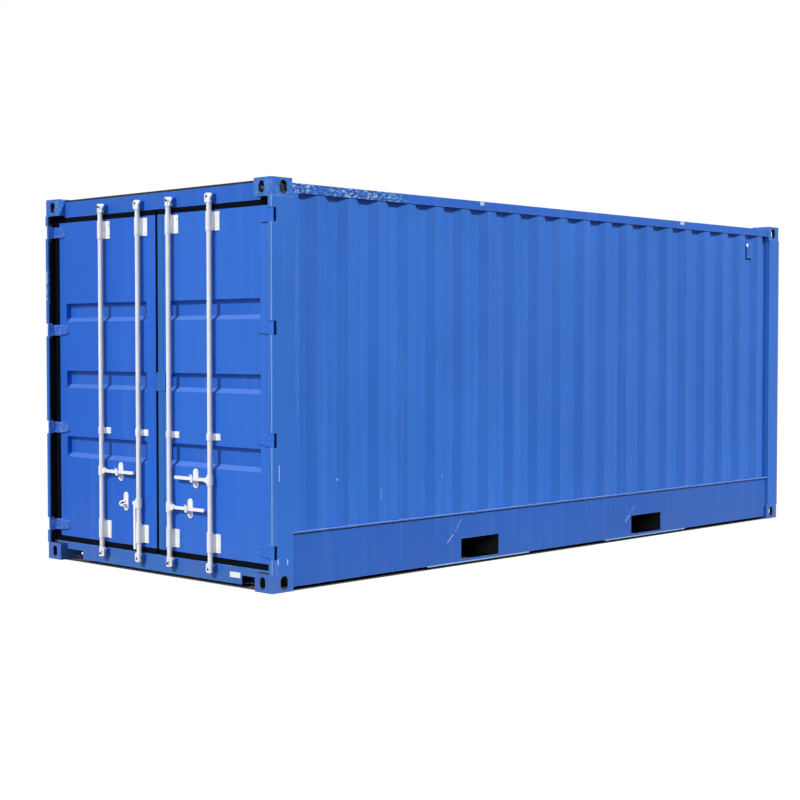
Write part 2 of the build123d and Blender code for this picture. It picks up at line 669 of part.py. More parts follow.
def door_gasket():
    """The rubber round the right leaf, clear of the post, the header, the sill and the other leaf."""
    y0 = LEAF_FACE
    y1 = LEAF_BACK - GASKET_BACK
    edge_x = DOOR_EDGE + GASKET_EDGE
    head = block(LEAF_INNER_EDGE, edge_x, y0, y1, DOOR_TOP, HEADER_BOTTOM - CLEARANCE)
    foot = block(LEAF_INNER_EDGE, edge_x, y0, y1, SILL_TOP + CLEARANCE, DOOR_BOTTOM)
    edge = block(DOOR_EDGE, edge_x, y0, y1, DOOR_BOTTOM, DOOR_TOP)
    seam = block(LEAF_INNER_EDGE - GASKET_SEAM, LEAF_INNER_EDGE, y0 + GASKET_BACK, y1,
                 DOOR_BOTTOM, DOOR_TOP)
    return [head, foot, seam, edge]


def hinge_blade(z, reach, tip_height):
    """One hinge blade: flat on the leaf, then cranked forward to the eye round the pin."""
    face = LEAF_FACE - PIN_Y
    front = face - BLADE_PLATE
    outline = [(0, KNUCKLE_RADIUS), (-BLADE_NECK, face), (-reach, face), (-reach, face - BLADE_TIP_PLATE),
               (-reach + BLADE_TIP_BEVEL, front), (-BLADE_ELBOW, front), (-KNUCKLE_RADIUS, 0), (0, 0)]
    points = [(PIN_X + x, PIN_Y + y) for x, y in outline]
    blade = upright(points, z - BLADE_HEIGHT / 2, z + BLADE_HEIGHT / 2)
    tip_x = PIN_X - reach - CUT
    for side in (-1, 1):
        edge = z + side * BLADE_HEIGHT / 2
        past = edge + side * CUT
        tip = z + side * tip_height / 2
        corner = [(tip_x, tip), (DOOR_EDGE, edge), (DOOR_EDGE, past), (tip_x, past)]
        blade -= lengthwise(corner, FRONT, LEAF_FACE + CUT)
    blade += disc(PIN_X, PIN_Y, z - KNUCKLE_HEIGHT / 2, z + KNUCKLE_HEIGHT / 2, KNUCKLE_RADIUS)
    return blade - disc(PIN_X, PIN_Y, z - KNUCKLE_HEIGHT, z + KNUCKLE_HEIGHT, PIN_RADIUS + PIN_FIT)


def rod_guide(x, z0, height):
    """A guide on the door face: a flange plate and a cap round the rod."""
    bore = ROD_RADIUS + ROD_FIT
    outer = bore + GUIDE_WALL
    guide = block(x - GUIDE_FLANGE, x + GUIDE_FLANGE, GUIDE_FACE, LEAF_FACE, z0, z0 + height)
    guide += block(x - outer, x + outer, ROD_AXIS_Y, GUIDE_FACE, z0, z0 + height)
    guide += disc(x, ROD_AXIS_Y, z0, z0 + height, outer)
    return guide - disc(x, ROD_AXIS_Y, z0 - CUT, z0 + height + CUT, bore)


def rod_guides():
    """The guides of the right leaf's two rods."""
    return [rod_guide(x, z0, height)
            for x in (ROD_INNER, ROD_OUTER)
            for z0, height in (BOTTOM_GUIDE, MIDDLE_GUIDE, TOP_GUIDE)]


def cam(x, nose, z0):
    """A forged cam head on the end of a rod, its nose turned to the handle's side."""
    z1 = z0 + CAM_HEIGHT
    half = CAM_LOBE_THICKNESS / 2
    tip = x + nose * CAM_LOBE
    head = disc(x, ROD_AXIS_Y, z0, z1, CAM_RADIUS)
    lobe = block(x, tip, ROD_AXIS_Y - half, ROD_AXIS_Y + half, z0, z1)
    ends = lobe.edges().filter_by(Axis.Y).sort_by(lambda e: nose * e.center().X)[-2:]
    head += fillet(ends, CAM_LOBE_ROUNDING)
    hole_plane = Plane(origin=(x + nose * CAM_LOBE / 2, ROD_AXIS_Y, z0 + CAM_HEIGHT / 2),
                       x_dir=(1, 0, 0), z_dir=(0, -1, 0))
    return head - extrude(hole_plane * Circle(CAM_HOLE), amount=CAM_LOBE, both=True)


def handle_hub(x, nose, z):
    """The hub clamped on a rod, with two ears and the pin that carries the handle."""
    hub = disc(x, ROD_AXIS_Y, z - HUB_HEIGHT / 2, z + HUB_HEIGHT / 2, HUB_RADIUS)
    pivot = x + nose * HANDLE_PIVOT
    gap = HANDLE_THICKNESS / 2 + WELD_GAP
    root = [(x, z - HUB_ROOT / 2), (pivot, z - HANDLE_EYE), (pivot, z + HANDLE_EYE), (x, z + HUB_ROOT / 2)]
    for side in (-1, 1):
        y0 = ROD_AXIS_Y + side * gap
        ear = lengthwise(root, min(y0, y0 + side * HUB_EAR), max(y0, y0 + side * HUB_EAR))
        round_end = Plane(origin=(pivot, y0, z), x_dir=(1, 0, 0), z_dir=(0, side, 0))
        hub += ear + extrude(round_end * Circle(HANDLE_EYE), amount=HUB_EAR)
    pin_plane = Plane(origin=(pivot, ROD_AXIS_Y, z), x_dir=(1, 0, 0), z_dir=(0, -1, 0))
    return hub + extrude(pin_plane * Circle(HANDLE_PIN), amount=gap + HUB_EAR / 2, both=True)


def lock_rod(x, nose, handle_z):
    """One lock rod: the tube, a cam at each end, a collar on the foot guide and the hub."""
    rod = disc(x, ROD_AXIS_Y, CAM_BOTTOM, CAM_TOP, ROD_RADIUS)
    rod += cam(x, nose, CAM_BOTTOM)
    rod += cam(x, nose, CAM_TOP - CAM_HEIGHT)
    collar_z = BOTTOM_GUIDE[0] + BOTTOM_GUIDE[1] + WELD_GAP
    rod += disc(x, ROD_AXIS_Y, collar_z, collar_z + COLLAR_HEIGHT, COLLAR_RADIUS)
    return rod + handle_hub(x, nose, handle_z)


def lever(x, nose, z, hanging):
    """A handle bar with an eye at its pivot, lying to one side of the rod or hanging."""
    y0 = ROD_AXIS_Y - HANDLE_THICKNESS / 2
    y1 = ROD_AXIS_Y + HANDLE_THICKNESS / 2
    pivot = x + nose * HANDLE_PIVOT
    reach = HANDLE_LENGTH - HANDLE_PIVOT
    half = HANDLE_HEIGHT / 2
    if hanging:
        bar = block(pivot - half, pivot + half, y0, y1, z - reach, z)
        ends = bar.edges().filter_by(Axis.Y).sort_by(Axis.Z)[:2]
    else:
        bar = block(pivot, pivot + nose * reach, y0, y1, z - half, z + half)
        ends = bar.edges().filter_by(Axis.Y).sort_by(lambda e: nose * e.center().X)[-2:]
    bar = fillet(ends, HANDLE_ROUNDING)
    plane = Plane(origin=(pivot, ROD_AXIS_Y, z), x_dir=(1, 0, 0), z_dir=(0, -1, 0))
    bar += extrude(plane * Circle(HANDLE_EYE), amount=HANDLE_THICKNESS / 2, both=True)
    return bar - extrude(plane * Circle(HANDLE_PIN + PIN_FIT), amount=HANDLE_THICKNESS, both=True)


def handle_catch(x, nose, z):
    """The catch on the door face: an oval plate, and the shelf welded to it just under the handle."""
    middle = x + nose * CATCH_OFFSET
    plane = Plane(origin=(middle, LEAF_FACE, z), x_dir=(1, 0, 0), z_dir=(0, -1, 0))
    plate = extrude(plane * SlotOverall(CATCH_HEIGHT, CATCH_WIDTH, rotation=90), amount=CATCH_PLATE)
    shelf_top = z - HANDLE_HEIGHT / 2 - CLEARANCE
    shelf = block(middle - CATCH_SHELF_WIDTH / 2, middle + CATCH_SHELF_WIDTH / 2,
                  ROD_AXIS_Y - HANDLE_THICKNESS / 2, LEAF_FACE - CATCH_PLATE - WELD_GAP,
                  shelf_top - CATCH_SHELF, shelf_top)
    return [plate, shelf]


def handle_catches():
    """The catches of the right leaf's two handles."""
    return handle_catch(ROD_INNER, 1, HANDLE_INNER_Z) + handle_catch(ROD_OUTER, -1, HANDLE_OUTER_Z)


def seam_plate():
    """The small plate on the right leaf's strip that bridges half of the seam."""
    z = recess_middle(RECESSES[1][0])
    back = LEAF_FACE - SEAM_STRIP_PLATE
    strip_edge = LEAF_INNER_EDGE + SEAM_STRIP_WIDTH
    plate = block(-SEAM_PLATE_OVERHANG, SEAM_PLATE_REACH, back - SEAM_PLATE_THICKNESS, back,
                  z - SEAM_PLATE_HEIGHT / 2, z + SEAM_PLATE_HEIGHT / 2)
    return plate + block(strip_edge + WELD_GAP, SEAM_PLATE_REACH, back, LEAF_FACE - WELD_GAP,
                         z - SEAM_PLATE_HEIGHT / 2, z + SEAM_PLATE_HEIGHT / 2)


def build_frame():
    """Everything that doesn't move."""
    foot = casting()
    head = Pos(0, 0, HEIGHT) * foot.mirror(Plane.XY)
    save("bottom_corner_castings", four_castings(foot))
    save("top_corner_castings", four_castings(head))
    for name, piece in (("door_post", door_post()), ("rear_post", rear_post()),
                        ("top_side_rail", top_rail()), ("bottom_side_rail", side_rail()),
                        ("side_wall", side_wall())):
        save(f"right_{name}", piece)
        save(f"left_{name}", mirrored(piece))
    save("fork_pocket_plates", pocket_plates())
    save("rear_wall", end_wall())
    save("roof_sheet", roof())
    save("door_header", door_header())
    save("door_sill", door_sill())
    save("rear_bottom_rail", rear_rail(SIDE_RAIL_BOTTOM, REAR_SILL_TOP))
    save("rear_top_rail", rear_rail(TOP_RAIL_BOTTOM, HEADER_TOP))
    save("floor_boards", floor_boards())
    save("cross_members", cross_members())
    save("cam_keepers", keepers())
    save("vent_covers", both_sides([vent()]))


def build_doors():
    """The two leaves, alike but for the strip and the plate beside the seam of the right one."""
    save("right_door_frame", door_frame(strip=True))
    save("left_door_frame", [mirrored(piece) for piece in door_frame(strip=False)])
    blades = [hinge_blade(z, *blade) for z, blade in zip(HINGE_HEIGHTS, BLADES)]
    for name, pieces in (("sheet", [door_sheet()]), ("gasket", door_gasket()), ("hinge_blades", blades),
                         ("rod_guides", rod_guides()), ("handle_catches", handle_catches())):
        save(f"right_door_{name}", pieces)
        save(f"left_door_{name}", [mirrored(piece) for piece in pieces])
    save("seam_plate", seam_plate())


def build_lock_gear():
    """Four lock rods with their handles. One handle has dropped out of its catch and hangs."""
    for name, x, nose, z, hanging in (("left_outer", -ROD_OUTER, 1, HANDLE_OUTER_Z, False),
                                      ("left_inner", -ROD_INNER, -1, HANDLE_INNER_Z, True),
                                      ("right_inner", ROD_INNER, 1, HANDLE_INNER_Z, False),
                                      ("right_outer", ROD_OUTER, -1, HANDLE_OUTER_Z, False)):
        save(f"{name}_rod", lock_rod(x, nose, z))
        save(f"{name}_handle", lever(x, nose, z, hanging))


os.makedirs("parts", exist_ok=True)
build_frame()
build_doors()
build_lock_gear()
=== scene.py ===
import json
import math

import bmesh
import bpy
from mathutils import Matrix, Vector


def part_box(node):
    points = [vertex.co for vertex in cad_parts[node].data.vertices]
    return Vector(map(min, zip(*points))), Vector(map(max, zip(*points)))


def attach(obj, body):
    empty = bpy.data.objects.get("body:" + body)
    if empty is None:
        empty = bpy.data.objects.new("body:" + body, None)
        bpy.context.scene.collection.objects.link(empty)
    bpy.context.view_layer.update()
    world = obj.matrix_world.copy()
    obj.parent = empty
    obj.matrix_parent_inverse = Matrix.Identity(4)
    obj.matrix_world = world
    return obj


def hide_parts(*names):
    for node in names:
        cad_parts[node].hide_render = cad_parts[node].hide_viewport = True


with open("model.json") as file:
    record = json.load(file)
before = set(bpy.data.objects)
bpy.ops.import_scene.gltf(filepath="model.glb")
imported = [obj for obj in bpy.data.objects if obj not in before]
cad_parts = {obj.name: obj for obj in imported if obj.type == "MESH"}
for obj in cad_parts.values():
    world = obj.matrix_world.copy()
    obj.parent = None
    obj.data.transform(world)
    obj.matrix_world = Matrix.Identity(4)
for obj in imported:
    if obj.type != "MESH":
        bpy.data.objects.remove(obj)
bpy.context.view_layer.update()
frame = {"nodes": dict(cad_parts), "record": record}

# Looks of a blue shipping container with white lock rods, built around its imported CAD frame.
# Metres. The doors are at -Y, +X is the side that the photograph shows, and Z is up.

RIGHTWARD = (1, 0, 0)
FRONTWARD = (0, -1, 0)
REARWARD = (0, 1, 0)
UPWARD = (0, 0, 1)

# Camera, solved from the photograph
CAMERA_PLACE = (8.560, -9.585, 1.559)
CAMERA_YAW = 43.60
CAMERA_PITCH = -2.04
CAMERA_LENS = 71.36
CAMERA_REACH = 200.0
SENSOR_WIDTH = 36.0

# Light. A sun has the direction in which it shines, its strength and its spread in degrees.
AMBIENT = (0.96, 0.98, 1.0, 1.0)
AMBIENT_STRENGTH = 0.15
SUNS = {
    "front_light": {"towards": (0.15, 1.0, -0.80), "strength": 2.85, "spread": 2.5},
    "side_light": {"towards": (-0.95, -0.30, -0.72), "strength": 3.25, "spread": 4.0},
    "edge_light": {"towards": (-0.50, 1.0, -0.30), "strength": 0.6, "spread": 10.0},
    "back_light": {"towards": (1.0, -0.55, -0.60), "strength": 1.8, "spread": 8.0},
}

# Stage floor: half its width, its true greys, and the white that the camera sees over them
STAGE_REACH = 40.0
STAGE_GREYS = (0.11, 0.13)
STAGE_GLOW = 1.04
STAGE_GLOW_SHARE = 0.97
PURE_WHITE = (1.0, 1.0, 1.0, 1.0)

# Measures taken from the CAD nodes
LEAF_LOW, LEAF_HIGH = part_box("left_door_frame")
SILL_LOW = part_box("door_sill")[0]
FLOOR_LOW, FLOOR_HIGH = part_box("floor_boards")
RAIL_LOW, RAIL_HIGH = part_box("right_bottom_side_rail")
TOP_RAIL_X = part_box("right_top_side_rail")[1].x
CAST_LOW, CAST_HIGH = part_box("top_corner_castings")
GUIDES_LOW, GUIDES_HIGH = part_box("right_door_rod_guides")
VENTS_LOW, VENTS_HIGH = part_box("vent_covers")
BLADES_LOW, BLADES_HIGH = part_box("right_door_hinge_blades")
ROD_LOW, ROD_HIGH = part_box("right_outer_rod")
HEADER_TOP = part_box("door_header")[1].z
REAR_POST_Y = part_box("right_rear_post")[0].y
LEAF_FACE_Y = LEAF_LOW.y
LEAF_HEIGHT = LEAF_HIGH.z - LEAF_LOW.z
SIDE_X = CAST_HIGH.x
FRONT_Y = CAST_LOW.y
REAR_Y = -FRONT_Y

# Outer face of the bottom rail's web, behind its lip
RAIL_WEB_X = SIDE_X - 0.020

# Floor boards across the container, and the room that they leave for the rear posts
PLANK_COUNT = 16
REAR_POST_ROOM = 0.088

# Lock gear: where the rods stand, the way along X in which each handle points, and the catches
ROD_Y = -3.003
RODS = {"left_outer": -0.591, "left_inner": -0.167, "right_inner": 0.167, "right_outer": 0.591}
HANDLE_WAYS = {"left_outer": 1, "left_inner": -1, "right_inner": 1, "right_outer": -1}
HANDLE_HEIGHTS = {"outer": 0.672, "inner": 0.470}
CATCH_OFFSET = 0.183
SHELF_DROP = 0.024

# Front of the thin plates under guides and catches
PLATE_FACE_Y = LEAF_FACE_Y - 0.005

# Recesses in a leaf: share of the way down to the middle of each, and its height
RECESS_SIZES = ((0.286, 0.132), (0.498, 0.126), (0.712, 0.150))


def recess_edges(down, tall):
    """Low and high edge of one recess."""
    middle = LEAF_HIGH.z - down * LEAF_HEIGHT
    return middle - tall / 2, middle + tall / 2


RECESSES = [recess_edges(*size) for size in RECESS_SIZES]


def srgb(red, green, blue):
    """A colour written as 0 to 255 values, as the linear values that a shader takes."""
    def linear(value):
        share = value / 255
        return share / 12.92 if share <= 0.04045 else ((share + 0.055) / 1.055) ** 2.4
    return (linear(red), linear(green), linear(blue), 1.0)


BODY_BLUE = srgb(38, 102, 192)
FRAME_BLUE = srgb(30, 94, 190)
RAIL_BLUE = srgb(25, 87, 177)
SILL_BLUE = srgb(28, 99, 190)
LEFT_LEAF_BLUE = srgb(24, 94, 199)
RIGHT_LEAF_BLUE = srgb(39, 103, 203)
SEAM_BLUE = srgb(30, 98, 178)
# Pale blue of worn paint, also used as painted light on slopes and edges.
WORN_AND_LIT_BLUE = srgb(150, 180, 225)
SCRAPED_BLUE = srgb(176, 200, 234)
CHIPPED_PALE = srgb(146, 180, 204)
# Dark of chipped paint, also used as painted shadow under the rail's lip.
CHIPPED_AND_SHADE_DARK = srgb(22, 46, 88)
GREYED_BLUE = srgb(96, 110, 158)
# Pale blue used as painted light on faces in shade.
PAINTED_LIGHT_BLUE = srgb(76, 146, 228)
GEAR_WHITE = srgb(242, 244, 246)
GEAR_SHADE = srgb(228, 231, 236)
RUST = srgb(104, 62, 38)
DUST = srgb(120, 124, 132)
# Black of the rubber seal, also used as painted shade in the door jambs.
RUBBER_AND_SHADE_BLACK = srgb(4, 6, 13)
RUBBER_BLOOM = srgb(18, 24, 42)
RUBBER_WORN = srgb(30, 38, 60)
# Black of the tar undercoat, also used as painted shade in holes and notches.
TAR_AND_SHADE_BLACK = srgb(8, 8, 10)
WOOD_LIGHT = srgb(168, 124, 82)
WOOD_DARK = srgb(104, 70, 44)
ZINC_LIGHT = srgb(150, 152, 155)
ZINC_DARK = srgb(96, 92, 88)
ZINC_EDGE = srgb(190, 192, 195)


# Shader nodes

def add(tree, kind, inputs=None, **settings):
    """Adds one node. A socket given for an input is linked, anything else is set as its value."""
    made = tree.nodes.new("ShaderNode" + kind)
    for key, value in settings.items():
        setattr(made, key, value)
    for key, value in (inputs or {}).items():
        if isinstance(value, bpy.types.NodeSocket):
            tree.links.new(value, made.inputs[key])
        else:
            made.inputs[key].default_value = value
    return made


def mix(tree, factor, first, second):
    """Mixes two colours."""
    return add(tree, "Mix", {0: factor, 6: first, 7: second}, data_type="RGBA").outputs[2]


def calc(tree, operation, first, second=0.0):
    """One step of arithmetic on values."""
    return add(tree, "Math", {0: first, 1: second}, operation=operation).outputs[0]


def remap(tree, value, low, high, to_low=0.0, to_high=1.0):
    """Spreads a value's range from low to high over another range."""
    inputs = {"Value": value, "From Min": low, "From Max": high,
              "To Min": to_low, "To Max": to_high}
    return add(tree, "MapRange", inputs).outputs["Result"]


def noise(tree, place, scale, detail=3.0, stretch=None):
    """Cloudy noise in metres, stretched along an axis where its scale there is small."""
    if stretch:
        place = add(tree, "VectorMath", {0: place, 1: stretch}, operation="MULTIPLY").outputs[0]
    inputs = {"Vector": place, "Scale": scale, "Detail": detail}
    return add(tree, "TexNoise", inputs).outputs["Fac"]


def edge_mask(tree, radius):
    """Near 1 on a piece's edges and 0 on its flat faces."""
    rounded = add(tree, "Bevel", {"Radius": radius}, samples=6).outputs["Normal"]
    flat = add(tree, "NewGeometry").outputs["Normal"]
    inputs = {0: rounded, 1: flat}
    same = add(tree, "VectorMath", inputs, operation="DOT_PRODUCT").outputs["Value"]
    return remap(tree, same, 0.99, 0.86)


def band(tree, value, low, high):
    """1 where a value lies between two limits and 0 elsewhere."""
    above = calc(tree, "GREATER_THAN", value, low)
    below = calc(tree, "LESS_THAN", value, high)
    return calc(tree, "MULTIPLY", above, below)


def find_axes(tree, place):
    """X, Y and Z of the place, and out and along: its distance from the middle in X and in Y."""
    split = add(tree, "SeparateXYZ", {0: place}).outputs
    axes = {key: split[key] for key in "XYZ"}
    axes["out"] = calc(tree, "ABSOLUTE", split["X"])
    axes["along"] = calc(tree, "ABSOLUTE", split["Y"])
    return axes


def start_material(name):
    """A new material, its node tree and its object coordinates."""
    material = bpy.data.materials.new(name)
    material.use_nodes = True
    tree = material.node_tree
    tree.nodes.clear()
    place = add(tree, "TexCoord").outputs["Object"]
    return material, tree, place


def end_material(tree, colour, roughness, height, bump, **fixed):
    """Joins colour, roughness and bump height in the shader.

    bump is the strength and the distance. Fixed values go on the shader's own sockets."""
    strength, distance = bump
    inputs = {"Height": height, "Strength": strength, "Distance": distance}
    normal = add(tree, "Bump", inputs).outputs["Normal"]
    inputs = {"Base Color": colour, "Roughness": roughness, "Normal": normal}
    inputs.update({key.replace("_", " "): value for key, value in fixed.items()})
    shader = add(tree, "BsdfPrincipled", inputs)
    add(tree, "OutputMaterial", {"Surface": shader.outputs["BSDF"]})


# Paint

def coat(colour, *boxes, amount=1.0, broken=0.0):
    """Another colour inside some boxes. broken is the scale of the noise that breaks it up."""
    return {"colour": colour, "boxes": boxes, "amount": amount, "broken": broken}


def box_mask(tree, axes, limits):
    """1 inside a box, given as limits along X, Y, Z, out or along."""
    factor = None
    for key, (low, high) in limits.items():
        inside = band(tree, axes[key], low, high)
        factor = inside if factor is None else calc(tree, "MULTIPLY", factor, inside)
    return factor


def lay_coat(tree, place, axes, base, layer):
    """Lays one coat over the base colour."""
    factor = box_mask(tree, axes, layer["boxes"][0])
    for limits in layer["boxes"][1:]:
        factor = calc(tree, "MAXIMUM", factor, box_mask(tree, axes, limits))
    if layer["broken"]:
        specks = noise(tree, place, layer["broken"], detail=6.0)
        factor = calc(tree, "MULTIPLY", factor, remap(tree, specks, 0.46, 0.54))
    return mix(tree, calc(tree, "MULTIPLY", factor, layer["amount"]), base, layer["colour"])


def weather(tree, place, axes, base, worn, streaks, dust):
    """Rain streaks, dust low down and pale worn edges."""
    rain = noise(tree, place, 1.0, detail=5.0, stretch=(16.0, 16.0, 0.55))
    rain = remap(tree, rain, 0.5, 0.72, 0.0, 0.22 * streaks)
    low_down = remap(tree, axes["Z"], 0.55, 0.0, 0.0, dust)
    dirt = calc(tree, "MULTIPLY", low_down, noise(tree, place, 5.0, detail=5.0))
    spots = noise(tree, place, 34.0, detail=6.0)
    edge = calc(tree, "MULTIPLY", edge_mask(tree, 0.005), remap(tree, spots, 0.42, 0.62))
    edge = calc(tree, "MULTIPLY", edge, worn)
    base = mix(tree, rain, base, WORN_AND_LIT_BLUE)
    base = mix(tree, dirt, base, DUST)
    return mix(tree, edge, base, WORN_AND_LIT_BLUE)


def chip(tree, place, axes, base, chips, chip_end):
    """Pale and dark flakes in broad patches, which fade out past the Y of chip_end."""
    broad = remap(tree, noise(tree, place, 2.2, detail=2.0), 0.20, 0.42)
    if chip_end is not None:
        fade = remap(tree, axes["Y"], chip_end, chip_end - 0.25)
        broad = calc(tree, "MULTIPLY", broad, fade)
    flakes = noise(tree, place, 95.0, detail=8.0, stretch=(1.0, 0.45, 1.0))
    pale = calc(tree, "MULTIPLY", broad, remap(tree, flakes, 0.55, 0.59, 0.0, chips))
    dark = calc(tree, "MULTIPLY", broad, remap(tree, flakes, 0.46, 0.43, 0.0, chips))
    return mix(tree, dark, mix(tree, pale, base, CHIPPED_PALE), CHIPPED_AND_SHADE_DARK)


def paint(name, colour, worn=0.5, chips=0.0, chip_end=None, streaks=0.2, dust=0.12, coats=()):
    """Sprayed steel: a cloudy colour with coats over it, weathered and chipped."""
    material, tree, place = start_material(name)
    axes = find_axes(tree, place)
    cloud = noise(tree, place, 1.1, detail=4.0)
    darker = tuple(0.93 * part for part in colour[:3]) + (1.0,)
    lighter = tuple(min(1.0, 1.05 * part + 0.003) for part in colour[:3]) + (1.0,)
    base = mix(tree, remap(tree, cloud, 0.3, 0.7), darker, lighter)
    for layer in coats:
        base = lay_coat(tree, place, axes, base, layer)
    base = weather(tree, place, axes, base, worn, streaks, dust)
    if chips:
        base = chip(tree, place, axes, base, chips, chip_end)
    grain = noise(tree, place, 260.0, detail=2.0)
    roughness = remap(tree, cloud, 0.25, 0.75, 0.42, 0.58)
    waves = calc(tree, "MULTIPLY", cloud, 0.7)
    height = calc(tree, "ADD", waves, calc(tree, "MULTIPLY", grain, 0.05))
    end_material(tree, base, roughness, height, (0.35, 0.006), Specular_IOR_Level=0.3)
    return material


# Other materials

def gear_paint(name):
    """White enamel on the lock gear, with grey handling marks and rust where it is chipped."""
    material, tree, place = start_material(name)
    cloud = noise(tree, place, 7.0, detail=5.0)
    base = mix(tree, remap(tree, cloud, 0.35, 0.75), GEAR_WHITE, GEAR_SHADE)
    marks = noise(tree, place, 1.0, detail=6.0, stretch=(40.0, 40.0, 5.0))
    base = mix(tree, remap(tree, marks, 0.62, 0.8, 0.0, 0.3), base, DUST)
    spots = remap(tree, noise(tree, place, 55.0, detail=7.0), 0.58, 0.68)
    edge = calc(tree, "MULTIPLY", edge_mask(tree, 0.003), spots)
    base = mix(tree, calc(tree, "MULTIPLY", edge, 0.6), base, RUST)
    grain = noise(tree, place, 320.0, detail=2.0)
    roughness = remap(tree, cloud, 0.3, 0.7, 0.35, 0.5)
    end_material(tree, base, roughness, grain, (0.15, 0.001), Specular_IOR_Level=0.4)
    return material


def rubber(name):
    """Black door seal with a dusty bloom."""
    material, tree, place = start_material(name)
    cloud = noise(tree, place, 9.0, detail=5.0)
    base = mix(tree, remap(tree, cloud, 0.45, 0.8, 0.0, 0.3), RUBBER_AND_SHADE_BLACK, RUBBER_BLOOM)
    patches = remap(tree, cloud, 0.4, 0.7, 0.1, 0.5)
    base = mix(tree, calc(tree, "MULTIPLY", edge_mask(tree, 0.003), patches), base, RUBBER_WORN)
    grain = noise(tree, place, 420.0, detail=2.0)
    roughness = remap(tree, cloud, 0.3, 0.7, 0.7, 0.9)
    end_material(tree, base, roughness, grain, (0.2, 0.001), Specular_IOR_Level=0.05)
    return material


def floor_wood(name):
    """Varnished plywood boards, their grain along the container."""
    material, tree, place = start_material(name)
    tone = noise(tree, place, 1.0, detail=2.0, stretch=(6.5, 0.3, 1.0))
    grain = noise(tree, place, 1.0, detail=8.0, stretch=(150.0, 4.0, 60.0))
    base = mix(tree, remap(tree, tone, 0.3, 0.7), WOOD_DARK, WOOD_LIGHT)
    base = mix(tree, remap(tree, grain, 0.4, 0.7, 0.0, 0.5), base, WOOD_DARK)
    scuffs = noise(tree, place, 1.0, detail=6.0, stretch=(12.0, 1.6, 1.0))
    base = mix(tree, remap(tree, scuffs, 0.58, 0.75, 0.0, 0.5), base, DUST)
    base = mix(tree, calc(tree, "MULTIPLY", edge_mask(tree, 0.002), 0.5), base, WOOD_DARK)
    roughness = remap(tree, grain, 0.3, 0.7, 0.45, 0.7)
    end_material(tree, base, roughness, grain, (0.3, 0.001), Specular_IOR_Level=0.35)
    return material


def bare_metal(name):
    """Zinc-plated steel of the floor screws."""
    material, tree, place = start_material(name)
    cloud = noise(tree, place, 60.0, detail=4.0)
    base = mix(tree, remap(tree, cloud, 0.35, 0.7), ZINC_LIGHT, ZINC_DARK)
    base = mix(tree, calc(tree, "MULTIPLY", edge_mask(tree, 0.001), 0.4), base, ZINC_EDGE)
    roughness = remap(tree, cloud, 0.3, 0.7, 0.35, 0.6)
    end_material(tree, base, roughness, cloud, (0.2, 0.0006), Metallic=0.9)
    return material


# Coats of other colours, by place; some are painted shade or painted light, as said at each. FAR
# stands for a limit that nothing reaches.
FAR = 9.0
# Black over the front of each post's inner jamb face: painted shade in the jamb, standing in also
# for the outer fin of the door seal.
JAMB_SEAL_AND_SHADE = coat(RUBBER_AND_SHADE_BLACK, {"out": (0.0, SIDE_X - 0.0095),
                                  "Y": (FRONT_Y + 0.0102, FRONT_Y + 0.1172)})
NEAR_POST_MARKS = coat(SCRAPED_BLUE, *({"X": (1.2, FAR), "Y": y, "Z": z} for y, z in (
    ((-2.982, -2.973), (0.176, 0.214)),
    ((-2.903, -2.894), (0.172, 0.206)),
    ((-2.970, -2.964), (0.70, 0.80)))), amount=0.85)
LEFT_POST_CHIPS = coat(CHIPPED_PALE, {"X": (-FAR, -1.2), "Y": (-FAR, -3.0), "Z": (1.84, 2.08)},
                       broken=45.0)
# Pale band down the near post's front corner: worn paint, and a painted highlight along the edge.
POST_EDGE_WEAR_AND_HIGHLIGHT = coat(WORN_AND_LIT_BLUE, {"X": (SIDE_X - 0.004, FAR), "Y": (-FAR, FRONT_Y + 0.005)},
                 amount=0.6)
CASTING_SKIN = 0.0045
# Black inside the corner castings, behind their holes: painted shade.
CASTING_INSIDE_SHADE = coat(TAR_AND_SHADE_BLACK, {"out": (SIDE_X - 0.160, SIDE_X - CASTING_SKIN),
                                  "along": (REAR_Y - 0.176, REAR_Y - CASTING_SKIN),
                                  "Z": (CASTING_SKIN, CAST_HIGH.z - CASTING_SKIN)})
# Black in the notches at the ends of the sill: painted shade.
SILL_NOTCH_SHADE = coat(TAR_AND_SHADE_BLACK, {"out": (0.8655, FAR), "Y": (SILL_LOW.y + 0.002, FAR),
                                "Z": (-FAR, 0.079)})
HEADER_EDGE = coat(RUBBER_AND_SHADE_BLACK, {"Y": (-FAR, SILL_LOW.y + 0.010),
                                  "Z": (HEADER_TOP - 0.014, FAR)})
REAR_POST_EDGE = coat(GREYED_BLUE, {"out": (SIDE_X - 0.003, FAR), "along": (REAR_Y - 0.016, FAR)},
                      amount=0.8)
# Paler blue on the rear posts' faces towards the doors: painted light on faces that lie in shade.
REAR_POST_PAINTED_LIGHT = coat(PAINTED_LIGHT_BLUE, {"Y": (-FAR, REAR_POST_Y + 0.002)})
RIGHT_LEAF = coat(RIGHT_LEAF_BLUE, {"X": (0.0, FAR)})
RECESS_SLOPE = 0.030
# Paler blue on the upward-facing foot slope of each door recess: painted light.
RECESS_FEET_PAINTED_LIGHT = coat(WORN_AND_LIT_BLUE, *({"Y": (LEAF_FACE_Y + 0.002, FAR), "Z": (low, low + RECESS_SLOPE)}
                                for low, high in RECESSES), amount=0.2)
